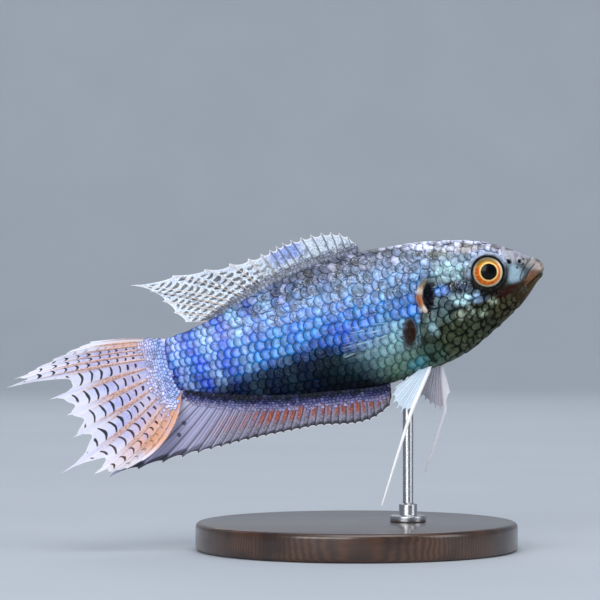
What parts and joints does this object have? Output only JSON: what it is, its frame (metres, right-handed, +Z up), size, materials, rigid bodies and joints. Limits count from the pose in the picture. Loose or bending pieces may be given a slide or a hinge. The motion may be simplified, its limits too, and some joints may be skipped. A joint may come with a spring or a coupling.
{
  "type": "paradise fish model",
  "caption": "Life-size still model of a blue paradise fish, nose up, with long pelvic feelers and ragged tail fin, held by one rod on a round flat base.",
  "frame": {"origin": "centre of the underside of the round stand base, on the surface that it stands on", "axes": "+X towards the fish's snout, +Y towards the fish's left side, +Z up"},
  "size_m": [0.0766, 0.046, 0.0454],
  "materials": {
    "head_skin": "semi-gloss, olive with pale blue flecks",
    "eye": "gloss, orange iris round a black pupil",
    "blue_scales": "pearly blue scales with dark edges",
    "spotted_fin": "satin, pale with dark bars",
    "striped_fin": "satin, violet with orange streaks",
    "tail_fin": "satin, lilac with orange rays and dark bars",
    "clear_fin": "satin, clear with white rays",
    "pale_fin": "satin, white",
    "stand_wood": "dark, satin",
    "stand_steel": "satin"
  },
  "bodies": {
    "root": {"head": "head_skin", "lower_jaw": "head_skin", "gill_cover_left": "head_skin", "gill_cover_right": "head_skin", "eye_left": "eye", "eye_right": "eye", "trunk": "blue_scales", "tail_stalk": "blue_scales", "dorsal_fin": "spotted_fin", "anal_fin": "striped_fin", "caudal_fin": "tail_fin", "pectoral_fin_left": "clear_fin", "pectoral_fin_right": "clear_fin", "pelvic_fin_left": "pale_fin", "pelvic_fin_right": "pale_fin", "stand_base": "stand_wood", "stand_rod": "stand_steel"}
  },
  "joints": []
}
